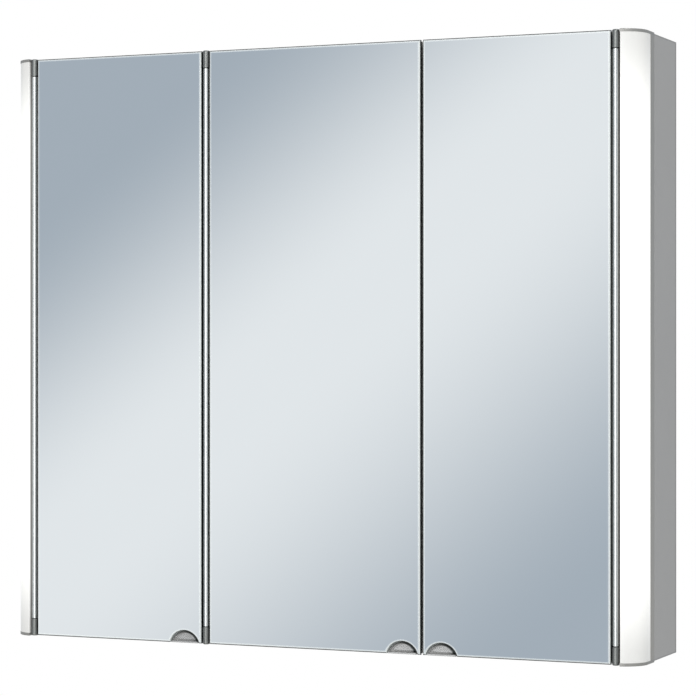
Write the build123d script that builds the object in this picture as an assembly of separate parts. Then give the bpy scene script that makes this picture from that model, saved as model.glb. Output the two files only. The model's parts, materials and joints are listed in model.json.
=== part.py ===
from build123d import *
from math import atan2, degrees, sqrt
import os

# A three-door mirror cabinet for a bathroom wall, with a light column on each side.
# X runs to the right, Y into the wall and Z up, in millimetres. The origin is the centre of
# the back face, which lies on the wall at Y = 0, so the mirrors face -Y.

# ---------------------------------------------------------------- driving dimensions
overall_width = 682.0
overall_height = 600.0  # over the end caps of the light columns
overall_depth = 118.0  # wall to the front corner of the columns
body_height = 597.0
door_height = 598.0

column_width = 21.0
column_depth = 43.8  # front corner to the rear end of the base profile
column_nose = 0.8  # the columns' front corner stands this far ahead of the mirrors
nose_radius = 24.0
cap_thickness = 3.0
diffuser_wall = 2.0
profile_wall = 1.6

hinge_space = 9.0  # gap for the hinge rod beside a door
door_gap = 2.6  # gap between the middle and the right door
side_door_width = 190.6
glass_thickness = 4.0
glass_bevel = 1.4
rear_bevel = 0.5

side_board = 16.0
flat_board = 12.0
partition_board = 9.0
back_board = 4.0
back_rebate = 6.0  # seat of the back board in the other boards' rear edges
board_gap = 1.8  # from the doors' rear faces to the boards' front edges

hinge_rod_radius = 3.0
hinge_axis_depth = 2.9  # behind the mirror face
pin_radius = 1.5
pin_play = 0.05
pin_length = 20.0
knuckle_radius = 3.5
knuckle_height = 17.5
knuckle_rise = 1.1  # the knuckles' ends stand this far past the boards

grip_chord = 32.5
grip_rise = 12.0
grip_offset = 3.0  # from a door's free edge to its cut-out
strike_radius = 7.0
strike_height = 246.0
strike_inset = 12.4  # from a door's free edge
magnet_radius = 4.5
magnet_length = 4.0

shelf_heights = (-95.0, 95.0)
shelf_glass = 5.0
shelf_y = (-94.0, -7.0)
shelf_pin_radius = 2.5
shelf_pin_y = (-68.0, -22.0)
pin_hole_depth = 4.2
line_pitch = 32.0
line_steps = range(-2, 3)

tube_radius = 8.0
tube_length = 517.0
lamp_base_length = 6.0
lamp_pin_radius = 1.2
lamp_pin_length = 7.0
lamp_pin_pitch = 4.75

wall_hole_radius = 3.25
wall_hole_x = 290.0
wall_hole_z = (262.0, -185.0)
grommet_place = (220.0, -247.0)
grommet_radius = 5.5
grommet_bore = 3.5

box_x = (126.0, 312.0)
box_y = (-67.5, -back_board)
box_top = -208.5
box_wall = 2.0
fascia_thickness = 2.5
socket_x = 178.0
socket_radius = 21.5
socket_bore = 19.5
socket_depth = 17.5
switch_x = 262.0
key_half = 12.0
key_half_width = 6.5
key_tilt = 8.0

lead_y = -20.0
lead_z = -273.0
lead_radius = 2.0

# ---------------------------------------------------------------- derived places
half_width = overall_width / 2
half_body = body_height / 2
half_door = door_height / 2
mirror_y = -(overall_depth - column_nose)  # front plane of the mirrors
glass_joint_y = mirror_y + glass_thickness  # between a door's front and rear mirror
door_rear_y = glass_joint_y + glass_thickness
carcass_y = door_rear_y + board_gap  # front edges of the boards
hinge_y = mirror_y + hinge_axis_depth
column_inner_x = half_width - column_width
column_rear_y = -overall_depth + column_depth
column_z = overall_height / 2 - cap_thickness
board_inner_x = half_width - side_board
board_z = half_body - flat_board  # inner face of the top board
door_edge = hinge_space / 2  # from a hinge axis to its door's glass
doors_width = 2 * column_inner_x - 3 * hinge_space - door_gap
middle_door_width = doors_width - 2 * side_door_width

side_hinge_x = column_inner_x - door_edge
middle_hinge_x = -side_hinge_x + hinge_space + side_door_width
gap_x = side_hinge_x - door_edge - side_door_width - door_gap / 2
partition_x = {"left": middle_hinge_x, "right": gap_x}
partition_half = partition_board / 2
knuckle_top = half_body + knuckle_rise
knuckle_low = knuckle_top - knuckle_height

# name: hinge axis, +1 where the door runs to +X from it, width of the glass
doors = {
    "left": (-side_hinge_x, 1, side_door_width),
    "middle": (middle_hinge_x, 1, middle_door_width),
    "right": (side_hinge_x, -1, side_door_width),
}
compartments = {
    "left": (-board_inner_x, partition_x["left"] - partition_half),
    "middle": (partition_x["left"] + partition_half, partition_x["right"] - partition_half),
    "right": (partition_x["right"] + partition_half, board_inner_x),
}

nodes = {}


# ---------------------------------------------------------------- helpers
def block(x, y, z):
    """A box between the low and high values of each pair."""
    size = [high - low for low, high in (x, y, z)]
    centre = [(high + low) / 2 for low, high in (x, y, z)]
    return Pos(*centre) * Box(*size)


def bar(axis, place, radius, span):
    """A round bar along an axis; place is its two other coordinates, in X, Y, Z order."""
    middle = (span[0] + span[1]) / 2
    length = abs(span[1] - span[0])
    if axis == "X":
        return Pos(middle, place[0], place[1]) * Rot(0, 90, 0) * Cylinder(radius, length)
    if axis == "Y":
        return Pos(place[0], middle, place[1]) * Rot(90, 0, 0) * Cylinder(radius, length)
    return Pos(place[0], place[1], middle) * Cylinder(radius, length)


def upright(face, z):
    """A plan face drawn out between two heights."""
    return Pos(0, 0, z[0]) * extrude(face, z[1] - z[0])


def around(middle, half):
    """The low and high value at the same distance from a middle."""
    return (middle - half, middle + half)


def countersink(radius, head_radius, length):
    """The space a countersunk screw takes, its head's flat at the origin, pointing to +Z."""
    head = head_radius - radius
    cone = Pos(0, 0, head / 2) * Cone(head_radius, radius, head)
    return cone + Pos(0, 0, (head + length) / 2) * Cylinder(radius, length - head)


def cross_recess(head_radius):
    """Cross slot in a screw head at the origin."""
    width, depth = 0.9, 1.0
    reach = 0.8 * head_radius
    return Box(reach, width, depth) + Box(width, reach, depth)


def left_and_right(shape):
    """The shape with its mirror image across the cabinet's middle plane."""
    return [shape, mirror(shape, about=Plane.YZ)]


def up_and_down(shape):
    """The shape with its mirror image below."""
    return [shape, mirror(shape, about=Plane.XY)]


def edges_along(shape, axis):
    return shape.edges().filter_by(axis)


def front_face(shape):
    return shape.faces().sort_by(Axis.Y)[0]


def rear_face(shape):
    return shape.faces().sort_by(Axis.Y)[-1]


def top_face(shape):
    return shape.faces().sort_by(Axis.Z)[-1]


def bottom_face(shape):
    return shape.faces().sort_by(Axis.Z)[0]


# ---------------------------------------------------------------- boards
side_dowel_radius = 3.0
side_dowel_y = (-62.0, -22.0)
thin_dowel_radius = 2.5
thin_dowel_y = (-76.0, -36.0)
lead_hole_radius = 3.5
bracket_notch = (27.0, 5.0)  # depth and height of the room for the middle door's brackets


def line_holes(x_span):
    """Rows of shelf-pin holes, bored along X over a span."""
    holes = []
    for height in shelf_heights:
        for step in line_steps:
            z = height - shelf_pin_radius + step * line_pitch
            for y in shelf_pin_y:
                holes.append(bar("X", (y, z), shelf_pin_radius, x_span))
    return holes


def side_dowels():
    """Dowels that join the right side panel to the top and bottom boards."""
    dowels = []
    span = (board_inner_x - 18, board_inner_x + 10)
    for y in side_dowel_y:
        dowels += up_and_down(bar("X", (y, half_body - flat_board / 2), side_dowel_radius, span))
    return dowels


def partition_dowels(name):
    """Dowels that join a partition to the top and bottom boards."""
    dowels = []
    span = (board_z - 14, board_z + 8)
    for y in thin_dowel_y:
        dowels += up_and_down(bar("Z", (partition_x[name], y), thin_dowel_radius, span))
    return dowels


all_dowels = [dowel for right in side_dowels() for dowel in left_and_right(right)]
for name in partition_x:
    all_dowels += partition_dowels(name)


def side_panel():
    """Right side panel: plain outside, rows of pin holes and a rebate inside."""
    full = (-half_body, half_body)
    board = block((board_inner_x, half_width), (column_rear_y, 0), full)
    board = fillet(edges_along(board, Axis.Z).group_by(Axis.X)[-1], 0.6)
    board -= block((board_inner_x, board_inner_x + back_rebate), (-back_board, 0), full)
    return board - side_dowels() - line_holes((board_inner_x - 1, board_inner_x + pin_hole_depth))


def flat_panel():
    """Top board, stepped in where the light columns stand."""
    z = (board_z, half_body)
    board = block((-board_inner_x, board_inner_x), (column_rear_y, 0), z)
    board += block((-column_inner_x, column_inner_x), (carcass_y, column_rear_y), z)
    board -= block((-half_width, half_width), (-back_board, 0), (board_z, board_z + back_rebate))
    board = fillet(edges_along(board, Axis.X).group_by(Axis.Y)[0], 0.5)
    return board - all_dowels


def back_panel():
    """Thin rear board with four wall-screw holes and the cable entry."""
    play = 0.1
    reach_x = board_inner_x + back_rebate - play
    reach_z = board_z + back_rebate - play
    board = block((-reach_x, reach_x), (-back_board, 0), (-reach_z, reach_z))
    for x in (-wall_hole_x, wall_hole_x):
        for z in wall_hole_z:
            board -= bar("Y", (x, z), wall_hole_radius, (-back_board, 0))
    return board - bar("Y", grommet_place, grommet_radius, (-back_board, 0))


def partition(name):
    """Upright board behind a joint between two doors."""
    low, high = around(partition_x[name], partition_half)
    board = block((low, high), (carcass_y, -back_board), (-board_z, board_z))
    board = fillet(edges_along(board, Axis.Z).group_by(Axis.Y)[0], 0.8)
    if partition_x[name] == middle_hinge_x:
        depth, height = bracket_notch
        notch = block((low, high), (carcass_y, carcass_y + depth), (board_z - height, board_z))
        board -= up_and_down(notch)
    board -= bar("X", (lead_y, lead_z), lead_hole_radius, (low, high))
    board -= line_holes((low - 1, low + pin_hole_depth))
    board -= line_holes((high - pin_hole_depth, high + 1))
    return board - partition_dowels(name)


nodes["side_panel_right"] = side_panel()
nodes["side_panel_left"] = mirror(nodes["side_panel_right"], about=Plane.YZ)
nodes["top_panel"] = flat_panel()
nodes["bottom_panel"] = mirror(nodes["top_panel"], about=Plane.XY)
nodes["panel_dowels"] = all_dowels
nodes["back_panel"] = back_panel()
for name in partition_x:
    nodes["partition_" + name] = partition(name)

# ---------------------------------------------------------------- light columns
nose_x = half_width - nose_radius
nose_y = -overall_depth + sqrt(nose_radius**2 - (column_inner_x - nose_x) ** 2)
diffuser_inset = 0.3
diffuser_rear_y = mirror_y + 31.0
diffuser_leg_y = mirror_y + 6.0  # end of the short leg beside the door
flange_gap = 0.1
lip_thickness = 1.5
lip_depth = 4.0
plug_length = 6.0
lead_entry = (column_inner_x + 2.5, lead_z)
lead_entry_radius = 2.3


def column_face(inset, rear_y):
    """Plan outline of the right light column, drawn in by inset and cut off at rear_y."""
    inner = column_inner_x + inset
    outer = half_width - inset
    radius = nose_radius - inset
    dx = inner - nose_x
    dy = sqrt(radius**2 - dx**2)
    start = degrees(atan2(-dy, dx))
    nose = CenterArc((nose_x, nose_y), radius, start, -start)
    sides = Polyline((outer, nose_y), (outer, rear_y), (inner, rear_y), (inner, nose_y - dy))
    return make_face(nose + sides)


def diffuser():
    """Opal cover: short inner leg, rounded nose and a long outer leg."""
    reach = (-column_z, column_z)
    shell = upright(column_face(diffuser_inset, diffuser_rear_y), reach)
    shell -= upright(column_face(diffuser_inset + diffuser_wall, diffuser_rear_y), reach)
    open_side = (column_inner_x, column_inner_x + diffuser_inset + 2 * diffuser_wall)
    shell -= block(open_side, (diffuser_leg_y, diffuser_rear_y + 1), reach)
    front_corner = edges_along(shell, Axis.Z).group_by(Axis.Y)[0]
    return fillet(front_corner, 0.8)


def base_profile():
    """Aluminium extrusion: a hollow box at the back and a flange along the door side."""
    reach = (-column_z, column_z)
    box = block((column_inner_x, half_width), (diffuser_rear_y, column_rear_y), reach)
    box = fillet(edges_along(box, Axis.Z).group_by(Axis.X)[-1], 0.4)
    hollow_x = (column_inner_x + profile_wall, half_width - profile_wall)
    hollow_y = (diffuser_rear_y + profile_wall, column_rear_y - profile_wall)
    box -= block(hollow_x, hollow_y, reach)
    flange_x = (column_inner_x, column_inner_x + profile_wall)
    box += block(flange_x, (diffuser_leg_y + flange_gap, diffuser_rear_y), reach)
    lip_x = half_width - diffuser_inset - diffuser_wall - lip_thickness
    lip_y = (diffuser_rear_y - lip_depth, diffuser_rear_y)
    box += block((lip_x, lip_x + lip_thickness), lip_y, reach)
    rear_wall = (column_rear_y - profile_wall - 1, column_rear_y + 1)
    return box - bar("Y", lead_entry, lead_entry_radius, rear_wall)


def column_cap():
    """Top end cap with a plug that sits in the base profile's hollow."""
    play = profile_wall + 0.1
    cap = upright(column_face(0, column_rear_y), (column_z, overall_height / 2))
    cap = fillet(top_face(cap).edges(), 0.7)
    plug_x = (column_inner_x + play, half_width - play)
    plug_y = (diffuser_rear_y + play, column_rear_y - play)
    return cap + block(plug_x, plug_y, (column_z - plug_length, column_z))


nodes["diffuser_right"] = diffuser()
nodes["diffuser_left"] = mirror(nodes["diffuser_right"], about=Plane.YZ)
nodes["column_profile_right"] = base_profile()
nodes["column_profile_left"] = mirror(nodes["column_profile_right"], about=Plane.YZ)
nodes["column_caps_right"] = up_and_down(column_cap())
nodes["column_caps_left"] = [mirror(cap, about=Plane.YZ) for cap in nodes["column_caps_right"]]

# ---------------------------------------------------------------- lamps
tube_place = (column_inner_x + 10.2, mirror_y + 22.0)
holder_gap = 0.8  # between a lamp's end and its holder
holder_length = 14.0
holder_front_y = mirror_y + 12.0


def contact_pins(radius, span):
    """The two contact pins at a tube's upper end."""
    pins = []
    for side in (-0.5, 0.5):
        place = (tube_place[0] + side * lamp_pin_pitch, tube_place[1])
        pins.append(bar("Z", place, radius, span))
    return pins


def lamp_tube():
    glass_end = tube_length / 2 - lamp_base_length
    return bar("Z", tube_place, tube_radius, (-glass_end, glass_end))


def lamp_base():
    """Metal cap on the tube's upper end, with its two contact pins."""
    end = tube_length / 2
    cap = bar("Z", tube_place, tube_radius, (end - lamp_base_length, end))
    cap = fillet(top_face(cap).edges(), 0.8)
    return cap + contact_pins(lamp_pin_radius, (end, end + lamp_pin_length))


def lamp_holder():
    """Upper lamp holder, shaped to stand inside the diffuser."""
    low = tube_length / 2 + holder_gap
    z = (low, low + holder_length)
    body = upright(column_face(diffuser_inset + diffuser_wall + 0.3, diffuser_rear_y), z)
    body -= block((column_inner_x, half_width), (-overall_depth, holder_front_y), z)
    lip_x = half_width - diffuser_inset - diffuser_wall - lip_thickness - 0.2
    body -= block((lip_x, half_width), (diffuser_rear_y - lip_depth - 1, diffuser_rear_y), z)
    return body - contact_pins(lamp_pin_radius + 0.1, (low, low + lamp_pin_length + 1))


nodes["lamp_tube_right"] = lamp_tube()
nodes["lamp_tube_left"] = mirror(nodes["lamp_tube_right"], about=Plane.YZ)
nodes["lamp_base_caps"] = [one for cap in up_and_down(lamp_base()) for one in left_and_right(cap)]
nodes["lamp_holders"] = [one for body in up_and_down(lamp_holder()) for one in left_and_right(body)]

# ---------------------------------------------------------------- doors
fin_width = 14.4
neck_thickness = 1.8
end_inset = 1.0  # the pieces behind the front mirror stop this far short of its ends
rod_end = knuckle_low - 0.3
cut_radius = (grip_chord**2 / 4 + grip_rise**2) / (2 * grip_rise)
cut_z = -half_door + grip_rise - cut_radius
recess_depth = 3.0
recess_wall = 0.6
recess_fillet = 2.6
lip_height = 1.6


def grip_x(width):
    """Middle of the cut-out in a door that runs to +X from its hinge axis at X = 0."""
    return door_edge + width - grip_offset - grip_chord / 2


def front_mirror(width):
    """Mirror glass with a ground edge all round and the half-moon cut-out."""
    x = (door_edge, door_edge + width)
    glass = block(x, (mirror_y, glass_joint_y), (-half_door, half_door))
    glass -= bar("Y", (grip_x(width), cut_z), cut_radius, (mirror_y - 1, door_rear_y))
    return chamfer(front_face(glass).edges(), glass_bevel)


def rear_mirror(width):
    """Inner mirror, beside the hinge profile's fin."""
    x = (door_edge + fin_width + 0.2, door_edge + width - end_inset)
    z = (-half_door + end_inset, half_door - end_inset)
    glass = block(x, (glass_joint_y, door_rear_y), z)
    glass -= bar("Y", (grip_x(width), cut_z), cut_radius, (mirror_y, door_rear_y + 1))
    return chamfer(rear_face(glass).edges(), rear_bevel)


def hinge_profile():
    """Aluminium extrusion: bored round rod, neck, and the fin bonded behind the mirror."""
    rod = bar("Z", (0, hinge_y), hinge_rod_radius, (-rod_end, rod_end))
    rod = chamfer(rod.edges().filter_by(GeomType.CIRCLE), 0.5)
    neck_end = rod_end - 0.5
    neck_y = (glass_joint_y, glass_joint_y + neck_thickness)
    rod += block((0, door_edge + 1), neck_y, (-neck_end, neck_end))
    fin_z = (-half_door + end_inset, half_door - end_inset)
    fin = block((door_edge, door_edge + fin_width), (glass_joint_y, door_rear_y), fin_z)
    fin = chamfer(edges_along(fin, Axis.Z).group_by(Axis.Y)[-1], 0.6)
    return rod + fin - bar("Z", (0, hinge_y), pin_radius + pin_play, (-half_door, half_door))


def grip(width):
    """Finger grip: a half-moon cup behind the cut-out, with a lip under the mirror's edge."""
    x = grip_x(width)
    all_x = around(x, cut_radius)
    lip_top = -half_door + lip_height
    cup = bar("Y", (x, cut_z), cut_radius - 0.1, (glass_joint_y, door_rear_y))
    cup -= block(all_x, (mirror_y, door_rear_y + 1), (-half_door - 2 * cut_radius, -half_door))
    recess_y = (glass_joint_y, glass_joint_y + recess_depth)
    recess = bar("Y", (x, cut_z), cut_radius - recess_wall, recess_y)
    recess -= block(all_x, recess_y, (-half_door - 2 * cut_radius, lip_top))
    cup -= fillet(rear_face(recess).edges(), recess_fillet)
    lip_y = (mirror_y + 0.4, glass_joint_y + 2.0)
    lip = block(around(x, grip_chord / 2 - lip_height), lip_y, (-half_door, lip_top))
    lip = fillet(edges_along(lip, Axis.X).group_by(Axis.Y)[0], 0.5)
    return cup + lip


def strike_plate(width):
    """Steel disc on the door's inner face, opposite the magnet."""
    place = (door_edge + width - strike_inset, strike_height)
    disc = bar("Y", place, strike_radius, (door_rear_y, door_rear_y + 0.8))
    return chamfer(rear_face(disc).edges(), 0.3)


def door_pieces(width):
    """The pieces of a door that runs to +X from its hinge axis at X = 0."""
    return {
        "mirror_front": front_mirror(width),
        "mirror_rear": rear_mirror(width),
        "hinge_profile": hinge_profile(),
        "grip": grip(width),
        "strike_plate": strike_plate(width),
    }


for side, (axis_x, run, width) in doors.items():
    for piece, shape in door_pieces(width).items():
        if run < 0:
            shape = mirror(shape, about=Plane.YZ)
        nodes[piece + "_" + side] = Pos(axis_x, 0, 0) * shape

# ---------------------------------------------------------------- hinge brackets
flange_thickness = 3.0
flange_depth = 26.0
web_half = 1.5
hinge_screw_head = 3.2
hinge_screw_space = countersink(1.5, hinge_screw_head, 10.0)
hinge_screw_y = carcass_y + 18.0
flange_x = {"left": (-4.0, 14.4), "middle": (-11.0, 11.0), "right": (-14.4, 4.0)}
hinge_screw_x = {"left": (1.5, 9.5), "middle": (-7.6, 7.6), "right": (-9.5, -1.5)}


def at_upper_screws(side, shape):
    """The shape at each screw that holds the upper bracket under the top board."""
    low = board_z - flange_thickness
    return [Pos(doors[side][0] + x, hinge_screw_y, low) * shape for x in hinge_screw_x[side]]


def upper_bracket(side):
    """Cast knuckle with a web that runs back to a flange under the top board."""
    axis_x = doors[side][0]
    knuckle = bar("Z", (axis_x, hinge_y), knuckle_radius, (knuckle_low, knuckle_top))
    knuckle = fillet(top_face(knuckle).edges(), 1.2)
    knuckle = chamfer(bottom_face(knuckle).edges(), 0.3)
    web_x = around(axis_x, web_half)
    web = block(web_x, (hinge_y, carcass_y), (knuckle_low + 0.5, half_body - 1))
    web += block(web_x, (carcass_y, carcass_y + 6), (knuckle_low + 0.5, board_z))
    reach = [axis_x + end for end in flange_x[side]]
    flange_y = (carcass_y, carcass_y + flange_depth)
    flange = block(reach, flange_y, (board_z - flange_thickness, board_z))
    flange = fillet(edges_along(flange, Axis.Z), 2.0)
    hole = bar("Z", (axis_x, hinge_y), pin_radius, (knuckle_low, knuckle_low + pin_length / 2))
    return knuckle + web + flange - hole - at_upper_screws(side, hinge_screw_space)


def upper_pin(side):
    """Pivot pin, pressed into the upper knuckle and running in the rod's bore."""
    span = around(knuckle_low, pin_length / 2)
    pin = bar("Z", (doors[side][0], hinge_y), pin_radius, span)
    return chamfer(bottom_face(pin).edges(), 0.3)


hinge_screw = hinge_screw_space - cross_recess(hinge_screw_head)
nodes["hinge_screws"] = []
nodes["pivot_pins"] = []
for side in doors:
    nodes["hinge_brackets_" + side] = up_and_down(upper_bracket(side))
    nodes["pivot_pins"] += up_and_down(upper_pin(side))
    for screw in at_upper_screws(side, hinge_screw):
        nodes["hinge_screws"] += up_and_down(screw)
    for space in at_upper_screws(side, hinge_screw_space):
        nodes["top_panel"] -= space
        nodes["bottom_panel"] -= mirror(space, about=Plane.XY)

# ---------------------------------------------------------------- catches and bumpers
catch_y = (door_rear_y + 1.1, door_rear_y + 26.0)
catch_size = (18.0, 13.0)
catch_x = {
    side: axis_x + run * (door_edge + width - strike_inset)
    for side, (axis_x, run, width) in doors.items()
}
catch_wall_x = {
    "left": compartments["left"][1],
    "middle": compartments["middle"][1],
    "right": compartments["right"][0],
}
bumper_radius = 3.6


def magnet(side):
    place = (catch_x[side], strike_height)
    return bar("Y", place, magnet_radius, (catch_y[0], catch_y[0] + magnet_length))


def catch_housing(side):
    """Plastic housing of a magnet catch, fixed to the partition beside it."""
    free_side = catch_x[side] - doors[side][1] * catch_size[0] / 2
    x = sorted((free_side, catch_wall_x[side]))
    body = block(x, catch_y, around(strike_height, catch_size[1] / 2))
    return fillet(edges_along(body, Axis.Y), 1.5) - magnet(side)


def bumper(side):
    """Soft dome on the top board's front edge that the door closes on."""
    place = (catch_x[side], half_body - flat_board / 2)
    dome = bar("Y", place, bumper_radius, (carcass_y - 1.5, carcass_y))
    return fillet(front_face(dome).edges(), 0.9)


nodes["catch_housings"] = [catch_housing(side) for side in doors]
nodes["catch_magnets"] = [magnet(side) for side in doors]
nodes["door_bumpers"] = [one for side in doors for one in up_and_down(bumper(side))]

# ---------------------------------------------------------------- shelves
shelf_margin = 1.2
shelf_pin_reach = 11.0
collar_radius = 3.5
collar_thickness = 0.8


def shelf(side, height):
    """Glass shelf that lies on four pins and stays clear of the light columns."""
    low = max(compartments[side][0], -column_inner_x) + shelf_margin
    high = min(compartments[side][1], column_inner_x) - shelf_margin
    plate = block((low, high), shelf_y, (height, height + shelf_glass))
    return chamfer(plate.edges(), 0.6)


def shelf_pin(x, run, y, height):
    """Pin standing out of a board at x towards run, with a collar against the board."""
    place = (y, height - shelf_pin_radius)
    shank = sorted((x - run * (pin_hole_depth - 0.2), x + run * shelf_pin_reach))
    collar = sorted((x, x + run * collar_thickness))
    return bar("X", place, shelf_pin_radius, shank) + bar("X", place, collar_radius, collar)


nodes["shelf_pins"] = []
for side, (low, high) in compartments.items():
    nodes["shelves_" + side] = [shelf(side, height) for height in shelf_heights]
    for height in shelf_heights:
        for y in shelf_pin_y:
            nodes["shelf_pins"] += [shelf_pin(low, 1, y, height), shelf_pin(high, -1, y, height)]

# ---------------------------------------------------------------- control box
box_z = (-board_z, box_top)
box_middle = (box_z[0] + box_z[1]) / 2
fascia_x = (box_x[0], column_inner_x - 0.5)
fascia_y = box_y[0] - fascia_thickness
boss_half = 4.5
boss_length = 14.0
screw_margin = 6.5
rim_y = fascia_y - 1.5  # front of the socket's rim
floor_y = rim_y + socket_depth
rim_width = 3.5
contact_x = 9.5
rail_half = 2.6
rail_inset = 2.0
switch_half = (10.0, 14.0)
switch_rim = 1.4
well_half = (key_half_width + 0.4, key_half + 1.2)
pivot_y = fascia_y + 2.8
pivot_radius = 1.5
stub_reach = 8.4
fascia_screw_radius = 1.25
fascia_screw_head = 2.6
fascia_screw_space = countersink(fascia_screw_radius, fascia_screw_head, 12.0)
fascia_screw_places = [
    (x, z)
    for x in (box_x[0] + screw_margin, box_x[1] - screw_margin)
    for z in (box_z[0] + screw_margin, box_z[1] - screw_margin)
]


def at_fascia_screws(shape):
    """The shape, drawn pointing to +Z, at each fascia screw and pointing into the cabinet."""
    turned = Rot(-90, 0, 0) * shape
    return [Pos(x, fascia_y + 0.1, z) * turned for x, z in fascia_screw_places]


def control_housing():
    """Tray behind the fascia, open to the front, with a boss in each corner."""
    tray = block(box_x, box_y, box_z)
    hollow = [(low + box_wall, high - box_wall) for low, high in (box_x, box_y, box_z)]
    tray -= block(hollow[0], (box_y[0], hollow[1][1]), hollow[2])
    for x, z in fascia_screw_places:
        boss_y = (box_y[0], box_y[0] + boss_length)
        tray += block(around(x, boss_half), boss_y, around(z, boss_half))
        tray -= bar("Y", (x, z), fascia_screw_radius, (box_y[0], boss_y[1] - 2))
    tray -= bar("Y", grommet_place, grommet_radius + box_wall + 1.5, (-8, -back_board))
    return tray - bar("X", (lead_y, lead_z), lead_radius + 0.4, (box_x[0] - 1, box_x[1] + 1))


def control_fascia():
    """Front plate with openings for the socket and the switch."""
    plate = block(fascia_x, (fascia_y, box_y[0]), box_z)
    plate = fillet(edges_along(plate, Axis.Y), 3.0)
    plate = fillet(front_face(plate).edges(), 0.7)
    through = (fascia_y - 1, box_y[0] + 1)
    plate -= bar("Y", (socket_x, box_middle), socket_radius + 0.3, through)
    half_x, half_z = switch_half
    plate -= block(around(switch_x, half_x), through, around(box_middle, half_z))
    return plate - at_fascia_screws(fascia_screw_space)


def socket_insert():
    """Round earthed socket: a deep cup with two contact holes in its floor."""
    centre = (socket_x, box_middle)
    cup = bar("Y", centre, socket_radius + rim_width, (rim_y, fascia_y))
    cup = fillet(front_face(cup).edges(), 0.9)
    cup += bar("Y", centre, socket_radius, (fascia_y, floor_y + 8))
    cup -= bar("Y", centre, socket_bore, (rim_y - 1, floor_y))
    for side in (-contact_x, contact_x):
        cup -= bar("Y", (socket_x + side, box_middle), 2.5, (floor_y, floor_y + 6))
    rail_groove = bar("Y", centre, socket_bore + 1.2, (rim_y, floor_y))
    for low, high in ((-2, -1), (1, 2)):
        z = [box_middle + end * (socket_bore - rail_inset) for end in (low, high)]
        cup -= block(around(socket_x, rail_half), (rim_y + 3.0, floor_y), z) & rail_groove
    return cup


def earth_clips():
    """Spring clips in the socket's upper and lower wall."""
    top = box_middle + socket_bore
    clip_x = around(socket_x, rail_half - 0.2)
    clip = block(clip_x, (rim_y + 3.2, floor_y), (top - 1.0, top - 0.1))
    clip = fillet(edges_along(clip, Axis.X), 0.3)
    return [clip, mirror(clip, about=Plane.XY.offset(box_middle))]


def switch_body():
    """Switch frame with a well for the rocker key."""
    half_x, half_z = switch_half
    rim_x = around(switch_x, half_x + switch_rim)
    rim_z = around(box_middle, half_z + switch_rim)
    frame = block(rim_x, (fascia_y - 1.3, fascia_y), rim_z)
    frame = fillet(edges_along(frame, Axis.Y), 1.5)
    frame = fillet(front_face(frame).edges(), 0.5)
    body_x = around(switch_x, half_x - 0.2)
    frame += block(body_x, (fascia_y, fascia_y + 15), around(box_middle, half_z - 0.2))
    well_x = around(switch_x, well_half[0])
    frame -= block(well_x, (fascia_y - 2, fascia_y + 9), around(box_middle, well_half[1]))
    stub_holes = around(switch_x, stub_reach + 0.2)
    return frame - bar("X", (pivot_y, box_middle), pivot_radius + pin_play, stub_holes)


def rocker_key():
    """Rocker key with its upper half pressed in, and a stub on each side to turn on."""
    front, edge, rear, rear_half = -4.0, -5.7, 2.4, 6.0
    outline = Polyline(
        (front, 0),
        (edge, key_half),
        (0.6, key_half),
        (rear, rear_half),
        (rear, -rear_half),
        (0.6, -key_half),
        (edge, -key_half),
        close=True,
    )
    face = make_face(Plane.YZ * outline)
    key = Pos(-key_half_width, 0, 0) * extrude(face, 2 * key_half_width, dir=(1, 0, 0))
    key = fillet(edges_along(key, Axis.X).group_by(Axis.Y)[0], 0.5)
    key += bar("X", (0, 0), pivot_radius, (-stub_reach, stub_reach))
    return Pos(switch_x, pivot_y, box_middle) * Rot(-key_tilt, 0, 0) * key


nodes["control_housing"] = control_housing()
nodes["control_fascia"] = control_fascia()
nodes["fascia_screws"] = at_fascia_screws(fascia_screw_space - cross_recess(fascia_screw_head))
nodes["socket_insert"] = socket_insert()
nodes["socket_earth_clips"] = earth_clips()
nodes["switch_body"] = switch_body()
nodes["rocker_key"] = rocker_key()

# ---------------------------------------------------------------- inside the control box
ballast_x = (137.0, 285.0)
ballast_height = 21.0
terminal_x = 240.0
terminal_z = -255.0
terminal_ways = 3
clip_half = 4.0
clip_x = (60.0, -50.0, -170.0, -270.0)
lead_end_y = column_rear_y - profile_wall
left_bend = 14.0
right_bend = 10.0


def ballast():
    """Electronic ballast in a folded metal case."""
    floor = box_z[0] + box_wall
    case = block(ballast_x, around(lead_y, 12.0), (floor, floor + ballast_height))
    return fillet(edges_along(case, Axis.X), 1.5)


def terminal_block():
    """Three-way terminal block on the housing's rear wall."""
    pitch = 10.0
    x = (terminal_x, terminal_x + 2 + pitch * terminal_ways)
    body = block(x, (-20.0, box_y[1] - box_wall), (terminal_z, terminal_z + 16))
    for way in range(terminal_ways):
        way_x = terminal_x + 6 + pitch * way
        body -= bar("Y", (way_x, terminal_z + 11), 2.2, (-20, -12))
        body -= bar("Z", (way_x, -13.0), 2.0, (terminal_z - 1, terminal_z + 7))
    return body


def grommet():
    """Rubber grommet in the back panel's cable hole, flanged on the inside."""
    flange_y = -back_board - 1.8
    ring = bar("Y", grommet_place, grommet_radius, (-back_board, 0))
    ring += bar("Y", grommet_place, grommet_radius + 2.5, (flange_y, -back_board))
    ring = fillet(front_face(ring).edges(), 0.6)
    return ring - bar("Y", grommet_place, grommet_bore, (flange_y - 1, 1))


def lamp_lead(start_x, turn_x, bend):
    """A lamp lead from the ballast: two straight runs joined by a tangent arc."""
    start = (start_x, lead_y, lead_z)
    turn = (turn_x, lead_y, lead_z)
    path = FilletPolyline(start, turn, (turn_x, lead_end_y, lead_z), radius=bend)
    section = Plane(origin=path @ 0, z_dir=path % 0) * Circle(lead_radius)
    return sweep(section, path=path)


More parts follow.
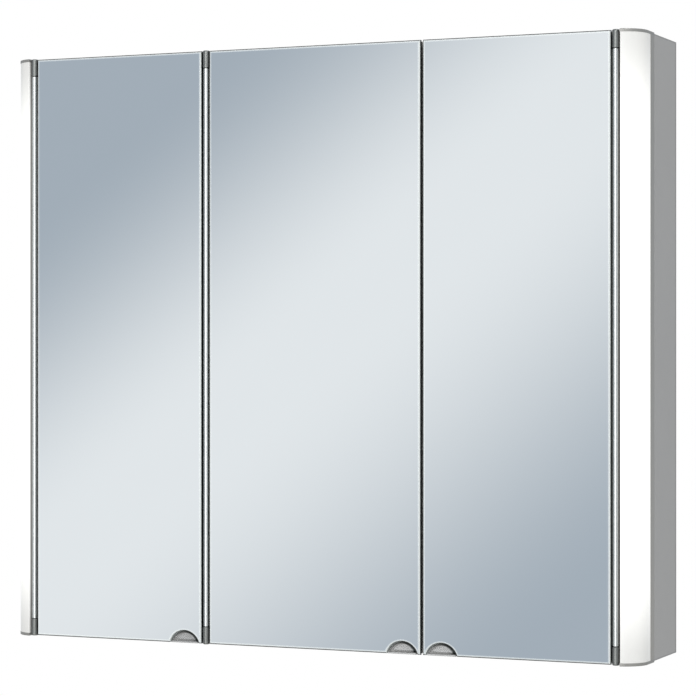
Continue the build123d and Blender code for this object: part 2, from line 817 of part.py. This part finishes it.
def lead_clip(x):
    """Saddle on the bottom board that holds the left lead."""
    span = around(x, clip_half)
    body = block(span, around(lead_y, clip_half), (-board_z, lead_z + clip_half))
    body = fillet(edges_along(body, Axis.X).group_by(Axis.Z)[-1], 2.5)
    return body - bar("X", (lead_y, lead_z), lead_radius + 0.05, span)


nodes["ballast"] = ballast()
nodes["terminal_block"] = terminal_block()
nodes["cable_grommet"] = grommet()
nodes["lamp_leads"] = [
    lamp_lead(ballast_x[0], -lead_entry[0], left_bend),
    lamp_lead(ballast_x[1], lead_entry[0], right_bend),
]
nodes["lead_clips"] = [lead_clip(x) for x in clip_x]


# ---------------------------------------------------------------- wall plates
def wall_plate(x, z):
    """Steel plate that spreads a wall screw's pull over the back panel."""
    half, thickness = 17.0, 1.5
    plate_y = (-back_board - thickness, -back_board)
    plate = block(around(x, half), plate_y, around(z, half))
    plate = fillet(edges_along(plate, Axis.Y), 4.0)
    return plate - bar("Y", (x, z), wall_hole_radius, plate_y)


nodes["wall_plates"] = [
    wall_plate(x, z) for x in (-wall_hole_x, wall_hole_x) for z in wall_hole_z
]

# ---------------------------------------------------------------- output
os.makedirs("parts", exist_ok=True)
for name, shape in nodes.items():
    if isinstance(shape, list):
        shape = Compound(children=[solid for one in shape for solid in one.solids()])
    export_step(shape, "parts/" + name + ".step")
print(len(nodes), "nodes, middle door", middle_door_width, "wide")
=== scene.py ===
import json
import math

import bmesh
import bpy
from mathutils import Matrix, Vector


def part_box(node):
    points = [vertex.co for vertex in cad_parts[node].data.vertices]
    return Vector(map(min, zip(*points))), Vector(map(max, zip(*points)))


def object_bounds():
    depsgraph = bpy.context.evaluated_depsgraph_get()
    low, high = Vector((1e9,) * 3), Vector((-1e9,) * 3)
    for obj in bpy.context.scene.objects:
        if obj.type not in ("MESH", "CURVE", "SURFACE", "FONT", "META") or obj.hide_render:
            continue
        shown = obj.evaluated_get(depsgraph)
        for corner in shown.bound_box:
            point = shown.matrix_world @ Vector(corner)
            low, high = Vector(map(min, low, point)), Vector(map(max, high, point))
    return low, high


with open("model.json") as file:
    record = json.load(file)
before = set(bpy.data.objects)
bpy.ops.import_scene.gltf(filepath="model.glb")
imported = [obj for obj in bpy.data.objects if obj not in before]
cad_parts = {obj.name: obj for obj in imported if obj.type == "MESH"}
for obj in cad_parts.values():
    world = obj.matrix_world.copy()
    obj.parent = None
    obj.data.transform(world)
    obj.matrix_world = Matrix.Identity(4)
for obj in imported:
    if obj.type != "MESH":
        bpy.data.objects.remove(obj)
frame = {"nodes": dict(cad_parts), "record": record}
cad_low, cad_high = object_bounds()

MM = 0.001
nodes = frame["nodes"]
record = frame["record"]

# ---------------------------------------------------------------- studio
background_white = (1.0, 1.0, 1.0)
fill_grey = (0.60, 0.60, 0.60)  # even light from all round, for matt surfaces
card_dark = (0.387, 0.443, 0.505)  # the two ends of the soft cards that glossy surfaces reflect
card_bright = (0.808, 0.838, 0.864)
card_axis = (0.916, -0.4005, -1.15)  # across the cards' diagonal bands
band_start = -0.27  # place of a band along card_axis
band_width = 0.48
band_stops = ((0.184, card_dark), (0.495, card_bright), (0.560, card_bright), (1.0, card_dark))
floor_height = -1.2
floor_radius = 6.0
floor_segments = 128
floor_colour = (0.92, 0.92, 0.91)
lights_aim = (0.0, 0.0, 0.0)
key_light = {"place": (2.0, -2.6, 2.4), "width": 0.8, "height": 0.8, "power": 60}
front_light = {"place": (0.0, -4.3, 0.3), "width": 3.4, "height": 2.4, "power": 66}

# camera
focal_length = 131.7
sensor_width = 36.0
camera_place = (1.0447, -2.4126, -0.0006)
camera_turn = math.radians(23.61)

# cabinet
doors = ("left", "middle", "right")
cut_radius = 17.0 * MM  # of the half-moon cut-outs
grip_lip = 1.6 * MM  # height of the grip cups' lower lip
glass_bevel = 1.4 * MM
rod_radius = 3.0 * MM
cap_height = 3.0 * MM
lamp_fade = 30 * MM  # the stretch over which the lamps dim towards their ends
beyond = 1.0  # more than any distance on the cabinet

# noise and shader sockets
noise_low, noise_high = 0.3, 0.7  # most of a noise pattern lies between these
mix_colours = (6, 7)  # a Mix node's sockets for its two colours
mix_result = 2  # and the one for the mixed colour


def studio_world():
    """White behind the object, an even grey fill, and soft banded cards for reflections."""
    world = bpy.data.worlds.new("studio")
    bpy.context.scene.world = world
    world.use_nodes = True
    tree = world.node_tree
    tree.nodes.clear()

    def node(kind, **settings):
        made = tree.nodes.new(kind)
        for name, value in settings.items():
            setattr(made, name, value)
        return made

    def background(colour):
        made = node("ShaderNodeBackground")
        if isinstance(colour, bpy.types.NodeSocket):
            tree.links.new(colour, made.inputs["Color"])
        else:
            made.inputs["Color"].default_value = (*colour, 1)
        return made.outputs["Background"]

    def choose(ray, otherwise, chosen):
        made = node("ShaderNodeMixShader")
        tree.links.new(ray, made.inputs["Fac"])
        tree.links.new(otherwise, made.inputs[1])
        tree.links.new(chosen, made.inputs[2])
        return made.outputs["Shader"]

    direction = node("ShaderNodeTexCoord").outputs["Generated"]
    across = node("ShaderNodeVectorMath", operation="DOT_PRODUCT")
    tree.links.new(direction, across.inputs[0])
    across.inputs[1].default_value = card_axis
    bands = node("ShaderNodeMath", operation="MULTIPLY_ADD")
    tree.links.new(across.outputs["Value"], bands.inputs[0])
    bands.inputs[1].default_value = 1 / band_width
    bands.inputs[2].default_value = -band_start / band_width
    share = node("ShaderNodeMath", operation="FRACT")
    tree.links.new(bands.outputs["Value"], share.inputs[0])
    cards = node("ShaderNodeValToRGB")
    tree.links.new(share.outputs["Value"], cards.inputs["Fac"])
    ramp = cards.color_ramp
    ramp.interpolation = "EASE"
    while len(ramp.elements) < len(band_stops):
        ramp.elements.new(0.5)
    for element, (place, colour) in zip(ramp.elements, band_stops):
        element.position = place
        element.color = (*colour, 1)

    ray = node("ShaderNodeLightPath")
    light = choose(ray.outputs["Is Diffuse Ray"], background(cards.outputs["Color"]), background(fill_grey))
    seen = choose(ray.outputs["Is Camera Ray"], light, background(background_white))
    output = node("ShaderNodeOutputWorld")
    tree.links.new(seen, output.inputs["Surface"])


def softbox(name, place, width, height, power, skipped=()):
    """An area light on the cabinet, hidden from the camera, that lights all but the skipped objects."""
    data = bpy.data.lights.new(name, "AREA")
    data.shape = "RECTANGLE"
    data.size = width
    data.size_y = height
    data.energy = power
    light = bpy.data.objects.new(name, data)
    bpy.context.scene.collection.objects.link(light)
    light.location = place
    light.rotation_euler = (Vector(lights_aim) - Vector(place)).to_track_quat("-Z", "Y").to_euler()
    light.visible_camera = False
    if skipped:
        others = bpy.data.collections.new(name + "_skips")
        for skip in skipped:
            others.objects.link(skip)
        for entry in others.collection_objects:
            entry.light_linking.link_state = "EXCLUDE"
        light.light_linking.receiver_collection = others


def studio_floor():
    """Plain pale floor, well below the cabinet, which hangs at its own height."""
    mesh = bpy.data.meshes.new("floor")
    shape = bmesh.new()
    bmesh.ops.create_circle(shape, cap_ends=True, radius=floor_radius, segments=floor_segments)
    shape.to_mesh(mesh)
    shape.free()
    floor = bpy.data.objects.new("floor", mesh)
    bpy.context.scene.collection.objects.link(floor)
    floor.location.z = floor_height
    finish = Finish("floor_paint", floor_colour, roughness=0.7)
    mesh.materials.append(finish.material)
    return floor


def studio_camera():
    """A level camera with a long lens, in front of the cabinet and to the viewer's right."""
    data = bpy.data.cameras.new("camera")
    data.lens = focal_length
    data.sensor_width = sensor_width
    camera = bpy.data.objects.new("camera", data)
    bpy.context.scene.collection.objects.link(camera)
    camera.location = camera_place
    camera.rotation_euler = (math.pi / 2, 0, camera_turn)
    bpy.context.scene.camera = camera


# ---------------------------------------------------------------- material building
class Finish:
    """A procedural material: one Principled shader and the nodes that feed it."""

    def __init__(self, name, colour, metallic=0.0, roughness=0.5, transmission=0.0, ior=1.5):
        self.material = bpy.data.materials.new(name)
        self.material.use_nodes = True
        self.tree = self.material.node_tree
        self.shader = self.tree.nodes["Principled BSDF"]
        self.shader.inputs["Base Color"].default_value = (*colour, 1)
        self.shader.inputs["Metallic"].default_value = metallic
        self.shader.inputs["Roughness"].default_value = roughness
        self.shader.inputs["Transmission Weight"].default_value = transmission
        self.shader.inputs["IOR"].default_value = ior
        self.coordinates = self.tree.nodes.new("ShaderNodeTexCoord")

    def node(self, kind, **settings):
        made = self.tree.nodes.new(kind)
        for name, value in settings.items():
            setattr(made, name, value)
        return made

    def put(self, value, socket):
        """Links an output to a socket, or sets the socket's own value."""
        if isinstance(value, bpy.types.NodeSocket):
            self.tree.links.new(value, socket)
        else:
            socket.default_value = value

    def feed(self, socket, value):
        self.put(value, self.shader.inputs[socket])

    def source(self, socket):
        """The output that feeds one of the shader's sockets."""
        return self.shader.inputs[socket].links[0].from_socket

    def noise(self, scale, detail=2.0, roughness=0.5, distortion=0.0):
        """Noise over the piece, with one scale per axis in features per metre."""
        stretch = self.node("ShaderNodeVectorMath", operation="MULTIPLY")
        self.put(self.coordinates.outputs["Object"], stretch.inputs[0])
        stretch.inputs[1].default_value = (scale,) * 3 if isinstance(scale, (int, float)) else scale
        made = self.node("ShaderNodeTexNoise")
        self.put(stretch.outputs["Vector"], made.inputs["Vector"])
        made.inputs["Scale"].default_value = 1.0
        made.inputs["Detail"].default_value = detail
        made.inputs["Roughness"].default_value = roughness
        made.inputs["Distortion"].default_value = distortion
        return made.outputs["Fac"]

    def mottle(self, scale, to_low=0.0, to_high=1.0, **kind):
        """Noise over the piece, stretched from to_low to to_high."""
        return self.ranged(self.noise(scale, **kind), noise_low, noise_high, to_low, to_high)

    def cells(self, scale):
        """Distance from the middles of Voronoi cells over the piece, in cells per metre."""
        made = self.node("ShaderNodeTexVoronoi")
        self.put(self.coordinates.outputs["Object"], made.inputs["Vector"])
        made.inputs["Scale"].default_value = scale
        return made.outputs["Distance"]

    def part(self, axis, of="Object"):
        """One coordinate of the place on the piece, or of its surface normal."""
        split = self.node("ShaderNodeSeparateXYZ")
        self.put(self.coordinates.outputs[of], split.inputs[0])
        return split.outputs[axis]

    def reckon(self, operation, *values):
        """The result of one arithmetic operation."""
        made = self.node("ShaderNodeMath", operation=operation)
        for value, socket in zip(values, made.inputs):
            self.put(value, socket)
        return made.outputs["Value"]

    def plus(self, a, b):
        return self.reckon("ADD", a, b)

    def minus(self, a, b):
        return self.reckon("SUBTRACT", a, b)

    def times(self, a, b):
        return self.reckon("MULTIPLY", a, b)

    def least(self, a, b):
        return self.reckon("MINIMUM", a, b)

    def most(self, a, b):
        return self.reckon("MAXIMUM", a, b)

    def below(self, a, b):
        """1 where a is less than b, 0 elsewhere."""
        return self.reckon("LESS_THAN", a, b)

    def size(self, a):
        """The value without its sign."""
        return self.reckon("ABSOLUTE", a)

    def sign(self, a):
        return self.reckon("SIGN", a)

    def ranged(self, value, low, high, to_low=0.0, to_high=1.0, smooth=False):
        """Maps low to high onto to_low to to_high, and holds the end values beyond them."""
        made = self.node("ShaderNodeMapRange")
        if smooth:
            made.interpolation_type = "SMOOTHSTEP"
        self.put(value, made.inputs["Value"])
        made.inputs["From Min"].default_value = low
        made.inputs["From Max"].default_value = high
        made.inputs["To Min"].default_value = to_low
        made.inputs["To Max"].default_value = to_high
        return made.outputs["Result"]

    def blend(self, share, a, b):
        """Colour a where share is 0, b where it is 1."""
        made = self.node("ShaderNodeMix", data_type="RGBA")
        self.put(share, made.inputs["Factor"])
        for value, place in zip((a, b), mix_colours):
            linked = isinstance(value, bpy.types.NodeSocket)
            self.put(value if linked else (*value, 1), made.inputs[place])
        return made.outputs[mix_result]

    def from_cut_out(self, shift=0.0):
        """Distance in the doors' plane from the nearest cut-out, and the place to the left or right of it.

        The distance is measured from a point that lies shift to the left of the cut-out's centre.
        """
        flat = self.node("ShaderNodeVectorMath", operation="MULTIPLY")
        self.put(self.coordinates.outputs["Object"], flat.inputs[0])
        flat.inputs[1].default_value = (1, 0, 1)
        distance = beyond
        beside = beyond
        for door in doors:
            low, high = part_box("grip_" + door)
            middle = (low.x + high.x) / 2
            away = self.node("ShaderNodeVectorMath", operation="DISTANCE")
            self.put(flat.outputs["Vector"], away.inputs[0])
            away.inputs[1].default_value = (middle - shift, 0, high.z - cut_radius)
            distance = self.least(distance, away.outputs["Value"])
            here = self.minus(self.part("X"), middle)
            nearer = self.below(self.size(here), self.size(beside))
            beside = self.plus(beside, self.times(nearer, self.minus(here, beside)))
        return distance, beside

    def bump(self, height, depth):
        """Relief of a real depth in metres."""
        made = self.node("ShaderNodeBump")
        made.inputs["Strength"].default_value = 1.0
        made.inputs["Distance"].default_value = depth
        self.put(height, made.inputs["Height"])
        self.feed("Normal", made.outputs["Normal"])


def shaded(colour, factor):
    """The colour made darker or lighter."""
    return tuple(channel * factor for channel in colour)


def nodes_top(name):
    """Height of the top of a CAD node."""
    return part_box(name)[1].z


# ---------------------------------------------------------------- materials
def board():
    """Matt aluminium-grey laminate: fleck, faint clouds, an orange-peel surface, darker along the side
    panels' edges.
    """
    grey = (0.360, 0.356, 0.350)
    end_band = 1.1 * MM  # at the top and bottom ends of the side panels
    wall_band = 3.8 * MM  # along their back edges
    band_fade = 0.4 * MM
    band_darkness = 0.26
    side_turn = (0.90, 0.95)  # how far a surface faces sideways before it has bands
    black = (0.0, 0.0, 0.0)
    made = Finish("board", grey, roughness=0.42)
    fleck = made.ranged(made.noise(2600, detail=1), 0.35, 0.68)
    clouds = made.mottle(7, detail=3)
    tone = made.blend(clouds, shaded(grey, 0.975), shaded(grey, 1.02))
    laminate = made.blend(fleck, shaded(grey, 0.90), tone)
    sideways = made.ranged(made.size(made.part("X", of="Normal")), *side_turn)
    from_end = made.minus(nodes_top("side_panel_right"), made.size(made.part("Z")))
    from_wall = made.times(made.part("Y"), -end_band / wall_band)  # shrunk, to fade as from_end does
    inset = made.least(from_end, from_wall)
    near_edge = made.ranged(inset, end_band, end_band + band_fade, band_darkness, 0.0)
    band = made.times(sideways, near_edge)
    made.feed("Base Color", made.blend(band, laminate, black))
    made.feed("Roughness", made.ranged(fleck, 0, 1, 0.36, 0.48))
    made.bump(made.noise(900, detail=2), 0.03 * MM)
    return made


def back_board():
    """Hardboard: light grey foil inside, and the bare brown pressed face outside."""
    foil = (0.60, 0.60, 0.59)
    brown = (0.27, 0.165, 0.095)
    outer_face = -0.3 * MM  # places behind this are on the outside
    made = Finish("back_board", foil, roughness=0.5)
    outside = made.ranged(made.part("Y"), 2 * outer_face, outer_face)
    fibres = made.mottle((260, 260, 700), detail=4, roughness=0.7, distortion=1.5)
    patches = made.ranged(made.noise(11, detail=4, roughness=0.6), 0.35, 0.65)
    dark_patch = made.blend(fibres, shaded(brown, 0.66), shaded(brown, 1.15))
    pale_patch = made.blend(fibres, shaded(brown, 0.80), shaded(brown, 1.45))
    pressed = made.blend(patches, dark_patch, pale_patch)
    flecks = made.ranged(made.cells(420), 0.10, 0.22, 0.55, 0.0)
    raw = made.blend(flecks, pressed, shaded(brown, 0.30))
    made.feed("Base Color", made.blend(outside, foil, raw))
    made.feed("Roughness", made.ranged(outside, 0, 1, 0.42, 0.85))
    relief = made.ranged(outside, 0, 1, 0.15, 1.0)
    made.bump(made.times(fibres, relief), 0.12 * MM)
    return made


def dowel_wood():
    """Beech, with its grain along the dowels."""
    beech = (0.60, 0.42, 0.25)
    made = Finish("dowel_wood", beech, roughness=0.6)
    grain = made.mottle((60, 900, 900), detail=4)
    made.feed("Base Color", made.blend(grain, shaded(beech, 0.75), shaded(beech, 1.1)))
    made.bump(grain, 0.05 * MM)
    return made


def opal():
    """Lit opal acrylic: bright along the lamp, greyer towards the caps, with painted shade on the inner
    walls beside the doors: a darker colour and a weaker glow.
    """
    lamp_glow = 0.60
    end_glow = 0.40  # share of lamp_glow at the caps
    shaded_wall_glow = 0.2  # share of it on the inner walls, where the glow is dimmed as painted shade
    acrylic = (0.50, 0.50, 0.488)
    # darker colour of the inner walls: painted shade
    shaded_wall_acrylic = (0.36, 0.36, 0.35)
    shade_start = 2.0 * MM  # behind the columns' noses
    shade_fade = 1.2 * MM
    inner_turn = (-0.95, -0.80)  # how far a column's surface faces outwards, inner walls first
    made = Finish("opal", acrylic, roughness=0.3)
    height = made.size(made.part("Z"))
    dim_from = nodes_top("lamp_tube_right") - lamp_fade
    along = made.ranged(height, dim_from, cad_high.z - cap_height, 1.0, end_glow, smooth=True)
    flow = made.mottle((80, 80, 14), 0.985, 1.0, detail=2)
    outwards = made.times(made.part("X", of="Normal"), made.sign(made.part("X")))
    inner_wall = made.ranged(outwards, *inner_turn, 1.0, 0.0)
    behind_nose = made.minus(made.part("Y"), cad_low.y)
    shade_depth = made.ranged(behind_nose, shade_start, shade_start + shade_fade)
    # painted shade: the inner walls behind the noses get a darker colour and a weaker glow
    painted_shade = made.times(shade_depth, inner_wall)
    made.feed("Base Color", made.blend(painted_shade, acrylic, shaded_wall_acrylic))
    made.feed("Emission Color", (1.0, 0.995, 0.965, 1))
    shade_dimming = made.ranged(painted_shade, 0, 1, 1.0, shaded_wall_glow)
    lit = made.times(made.times(along, flow), shade_dimming)
    made.feed("Emission Strength", made.times(lit, lamp_glow))
    made.bump(made.noise(1500, detail=1), 0.01 * MM)
    return made


def drawn_metal(name, colour, roughness, line_scale, direction="Z", depth=0.006 * MM, metallic=1.0,
                contrast=1.0):
    """Metal with fine lines along one axis, as drawing or brushing leaves them."""
    line_length = 220  # times a line's width
    made = Finish(name, colour, metallic=metallic, roughness=roughness)
    scale = [line_scale] * 3
    scale["XYZ".index(direction)] = line_scale / line_length
    lines = made.noise(tuple(scale), detail=3, roughness=0.65)
    share = made.ranged(lines, noise_low, noise_high)
    dark_tone = shaded(colour, 1 - 0.07 * contrast)
    bright = shaded(colour, 1 + 0.03 * contrast)
    made.feed("Base Color", made.blend(share, dark_tone, bright))
    spread = 0.15 * contrast * roughness
    made.feed("Roughness", made.ranged(share, 0, 1, roughness - spread, roughness + spread))
    made.bump(lines, depth)
    return made


def profile_aluminium():
    """Dull extruded aluminium of the columns' base profiles."""
    return drawn_metal("profile_aluminium", (0.43, 0.405, 0.368), roughness=0.38, line_scale=1500,
                       contrast=0.6)


def rod_aluminium():
    """Bright round rods; the front of the flat web beside each gets painted shade, a near-black colour."""
    bright = (0.56, 0.57, 0.555)
    # near-black colour for the web's front: painted shade in the gap beside the rod
    dark_tone = (0.10, 0.105, 0.10)
    web_start = rod_radius - 0.05 * MM
    web_fade = 0.2 * MM
    front_turn = (-0.9, -0.7)  # how far a surface faces backwards, front first
    hinge_sides = {"left": 0, "middle": 0, "right": 1}  # the corner of a door's box that its rod is at
    made = drawn_metal("rod_aluminium", bright, roughness=0.24, line_scale=1900, depth=0.0001 * MM,
                       contrast=0.3)
    beside = beyond
    for door, side in hinge_sides.items():
        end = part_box("hinge_profile_" + door)[side].x
        axis = end + (1 - 2 * side) * rod_radius
        away = made.size(made.minus(made.part("X"), axis))
        beside = made.least(beside, away)
    forward = made.ranged(made.part("Y", of="Normal"), *front_turn, 1.0, 0.0)
    off_rod = made.ranged(beside, web_start, web_start + web_fade)
    # painted shade on the front of the web beside each rod
    web = made.times(forward, off_rod)
    made.feed("Base Color", made.blend(web, made.source("Base Color"), dark_tone))
    return made


def grip_metal():
    """Brushed metal, with a painted shadow on the cup's rim, near black where it turns up under the glass
    and heavier on the right.
    """
    bright = (0.42, 0.42, 0.415)
    # near-black colour of the painted shadow
    black = (0.020, 0.024, 0.022)
    shadow_shift = 3.0 * MM  # of the painted shadow's centre, to the left
    shadow_width = 3.0 * MM
    shadow_fade = 1.4 * MM
    lip_fade = 0.4 * MM
    left_share = 0.55  # of the painted shadow
    left_end = -12 * MM  # beside a cut-out's centre, where the painted shadow starts to grow
    right_end = 2 * MM  # and where it is full
    made = drawn_metal("grip_metal", bright, roughness=0.36, line_scale=1700, direction="X",
                       depth=0.002 * MM, metallic=0.45, contrast=0.6)
    # painted shadow: near black on the cup's rim, kept off the lower lip
    distance, beside = made.from_cut_out(shift=shadow_shift)
    shadow_start = cut_radius - shadow_width
    rim = made.ranged(distance, shadow_start, shadow_start + shadow_fade)
    rim = made.times(rim, made.ranged(beside, left_end, right_end, left_share, 1.0))
    lip_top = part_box("grip_left")[0].z + grip_lip
    above_lip = made.ranged(made.part("Z"), lip_top, lip_top + lip_fade)
    share = made.times(rim, above_lip)
    made.feed("Base Color", made.blend(share, made.source("Base Color"), black))
    return made


def ballast_case():
    """Bright sheet steel, brushed along the ballast."""
    return drawn_metal("ballast_case", (0.72, 0.72, 0.72), roughness=0.35, line_scale=1200, direction="X")


def lamp_metal():
    """The tubes' metal end caps."""
    return drawn_metal("lamp_metal", (0.78, 0.78, 0.78), roughness=0.25, line_scale=1500, direction="X")


def cast_metal(name, colour, roughness, grain_scale, depth, metallic=1.0):
    """Plated or lacquered metal with a slight mottling and a fine grain."""
    made = Finish(name, colour, metallic=metallic, roughness=roughness)
    grain = made.noise(grain_scale, detail=2)
    patches = made.mottle(90, detail=3)
    made.feed("Base Color", made.blend(patches, shaded(colour, 0.94), shaded(colour, 1.04)))
    made.feed("Roughness", made.ranged(grain, noise_low, noise_high, roughness * 0.85, roughness * 1.2))
    made.bump(grain, depth)
    return made


def cap_silver():
    return cast_metal("cap_silver", (0.300, 0.294, 0.278), roughness=0.38, grain_scale=3200,
                      depth=0.002 * MM, metallic=0.5)


def knuckle_metal():
    return cast_metal("knuckle_metal", (0.21, 0.215, 0.205), roughness=0.36, grain_scale=1500,
                      depth=0.001 * MM)


def steel():
    return cast_metal("steel", (0.62, 0.63, 0.65), roughness=0.30, grain_scale=1300, depth=0.008 * MM)


def nickel():
    return cast_metal("nickel", (0.76, 0.73, 0.69), roughness=0.16, grain_scale=1800, depth=0.002 * MM)


def moulded(name, colour, roughness, depth=0.012 * MM, **glassy):
    """Moulded plastic or rubber: a fine texture and faint flow marks."""
    made = Finish(name, colour, roughness=roughness, **glassy)
    grain = made.noise(2400, detail=2)
    flow = made.mottle(25, detail=2)
    made.feed("Base Color", made.blend(flow, shaded(colour, 0.965), shaded(colour, 1.015)))
    made.feed("Roughness", made.ranged(grain, noise_low, noise_high, roughness * 0.9, roughness * 1.15))
    made.bump(grain, depth)
    return made


def white_plastic():
    return moulded("white_plastic", (0.80, 0.80, 0.785), roughness=0.36)


def light_plastic():
    return moulded("light_plastic", (0.62, 0.62, 0.612), roughness=0.42, depth=0.02 * MM)


def grey_plastic():
    return moulded("grey_plastic", (0.33, 0.335, 0.345), roughness=0.45, depth=0.02 * MM)


def rocker_plastic():
    return moulded("rocker_plastic", (0.84, 0.84, 0.82), roughness=0.14, depth=0.002 * MM)


def lead_sheath():
    return moulded("lead_sheath", (0.82, 0.82, 0.80), roughness=0.4, depth=0.006 * MM)


def magnet():
    return moulded("magnet", (0.045, 0.045, 0.048), roughness=0.55, depth=0.03 * MM)


def black_rubber():
    return moulded("black_rubber", (0.022, 0.022, 0.023), roughness=0.65, depth=0.02 * MM)


def clear_rubber():
    return moulded("clear_rubber", (0.86, 0.88, 0.88), roughness=0.22, depth=0.004 * MM,
                   transmission=0.75, ior=1.41)


def lamp_glass():
    """Lit fluorescent tube, duller at its ends."""
    middle_glow = 1.6
    end_glow = 0.5
    made = Finish("lamp_glass", (0.9, 0.9, 0.88), roughness=0.18)
    height = made.size(made.part("Z"))
    end = nodes_top("lamp_tube_right")
    made.feed("Emission Color", (1.0, 0.995, 0.96, 1))
    dusty = made.mottle(400, 0.97, 1.0, detail=2)
    along = made.ranged(height, end - lamp_fade, end, middle_glow, end_glow, smooth=True)
    made.feed("Emission Strength", made.times(along, dusty))
    return made


def mirror():
    """Silvered glass: a bright line of painted highlight around its face, a pale ground bevel, a dark rim
    of painted shade.
    """
    silver = (0.930, 0.945, 0.945)
    # colour of the painted highlight line
    bright = (0.985, 1.0, 0.99)
    ground = (0.86, 0.90, 0.89)
    # near-black painted shade on the glass's sides and cut-out walls
    edge_shade = (0.012, 0.017, 0.017)
    lit_wall_tone = (0.30, 0.33, 0.32)  # painted light: the left wall of a cut-out, lighter than the painted shade elsewhere
    line_width = 0.9 * MM
    line_end = glass_bevel + line_width  # from the glass's outline
    line_metallic = 0.8
    line_roughness = 0.12
    # glow of the painted highlight, though the glass is no lamp
    painted_glow = 0.10
    line_fade = 0.2 * MM
    pale_width = 0.95 * MM  # of the upright bevels, from the mirror's face
    level_loss = 0.50 * MM  # taken off it on the level ones
    pale_fade = 0.15 * MM
    front_glass = 2 * MM  # places nearer to the front than this are on the front glass
    face_turn = (0.97, 0.995)  # how far a surface faces front or back where bevel turns to face
    side_turn = (0.25, 0.45)  # and where side turns to bevel
    level_turn = (0.2, 0.6)  # how far a bevel faces up or down
    wall_reach = (0.3 * MM, 0.6 * MM)  # how far beyond cut_radius a cut-out's wall ends
    left_side = (-4 * MM, 0)  # beside a cut-out's centre, the stretch where its left wall ends
    made = Finish("mirror", silver, metallic=1.0, roughness=0.0)

    # bevels and sides
    facing = made.size(made.part("Y", of="Normal"))
    edge = made.ranged(facing, *face_turn, 1.0, 0.0)
    side = made.ranged(facing, *side_turn, 1.0, 0.0)
    place = made.part("Y")
    from_front = made.minus(place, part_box("mirror_front_left")[0].y)
    from_rear = made.minus(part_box("mirror_rear_left")[1].y, place)
    depth = made.least(from_front, from_rear)
    level = made.ranged(made.size(made.part("Z", of="Normal")), *level_turn, 0, level_loss)
    arris = made.ranged(made.plus(depth, level), pale_width, pale_width + pale_fade)

    # painted highlight: a bright, faintly glowing line within the outline of the front glass and its
    # cut-out
    distance, beside = made.from_cut_out()
    inset = made.minus(nodes_top("mirror_front_left"), made.size(made.part("Z")))
    for door in doors:
        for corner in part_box("mirror_front_" + door):
            reach = made.size(made.minus(made.part("X"), corner.x))
            inset = made.least(inset, reach)
    inset = made.least(inset, made.minus(distance, cut_radius))
    on_front = made.below(from_front, front_glass)
    line = made.ranged(inset, line_end, line_end + line_fade, 1.0, 0.0)
    line = made.times(line, on_front)

    # walls of the cut-outs
    near_cut = made.ranged(made.minus(distance, cut_radius), *wall_reach, 1.0, 0.0)
    left_wall = made.times(near_cut, made.ranged(beside, *left_side, 1.0, 0.0))

    grain = made.mottle(2600, detail=2)
    bevel = made.blend(grain, shaded(ground, 0.93), ground)
    # painted shade on the sides and walls, with the cut-outs' left walls painted lighter as lit
    wall = made.blend(left_wall, edge_shade, lit_wall_tone)
    rim = made.blend(made.most(side, arris), bevel, wall)
    made.feed("Base Color", made.blend(edge, made.blend(line, silver, bright), rim))
    face = made.minus(1.0, edge)
    made.feed("Metallic", made.times(face, made.ranged(line, 0, 1, 1.0, line_metallic)))
    # painted glow along the highlight line
    made.feed("Emission Color", (0.95, 1.0, 0.98, 1))
    made.feed("Emission Strength", made.times(made.times(line, face), painted_glow))
    frosted = made.times(edge, made.ranged(grain, 0, 1, 0.28, 0.4))
    made.feed("Roughness", made.most(frosted, made.times(line, line_roughness)))
    return made


def shelf_glass():
    """Clear float glass with greener, finely ground edges."""
    clear = (0.93, 0.975, 0.955)
    green = (0.50, 0.76, 0.66)
    edge_turn = (0.6, 0.95)  # how far a surface faces up or down, edges first
    made = Finish("shelf_glass", clear, roughness=0.02, transmission=1.0, ior=1.52)
    facing = made.size(made.part("Z", of="Normal"))
    edge = made.ranged(facing, *edge_turn, 1.0, 0.0)
    grain = made.mottle(2000, 0.22, 0.34, detail=2)
    made.feed("Base Color", made.blend(edge, clear, green))
    made.feed("Roughness", made.times(edge, grain))
    return made


finishes = (
    board, back_board, dowel_wood, opal, profile_aluminium, cap_silver, lamp_glass, lamp_metal,
    white_plastic, light_plastic, grey_plastic, rocker_plastic, mirror, rod_aluminium, grip_metal,
    knuckle_metal, steel, nickel, magnet, clear_rubber, black_rubber, shelf_glass, ballast_case,
    lead_sheath,
)


def paint_cad_nodes():
    """Gives every CAD node the finish that its material slot names."""
    for old in list(bpy.data.materials):
        bpy.data.materials.remove(old)
    made = {finish.__name__: finish().material for finish in finishes}
    for part in record["subparts"]:
        for slot in nodes[part["node"]].material_slots:
            slot.material = made[part["material_slot"]]


# ---------------------------------------------------------------- making
paint_cad_nodes()
studio_world()
floor = studio_floor()
studio_camera()
bpy.context.scene.view_settings.view_transform = "Standard"
mirrors = [nodes[name] for name in nodes if name.startswith("mirror_")]
softbox("key", **key_light)
softbox("front", **front_light, skipped=[*mirrors, floor])
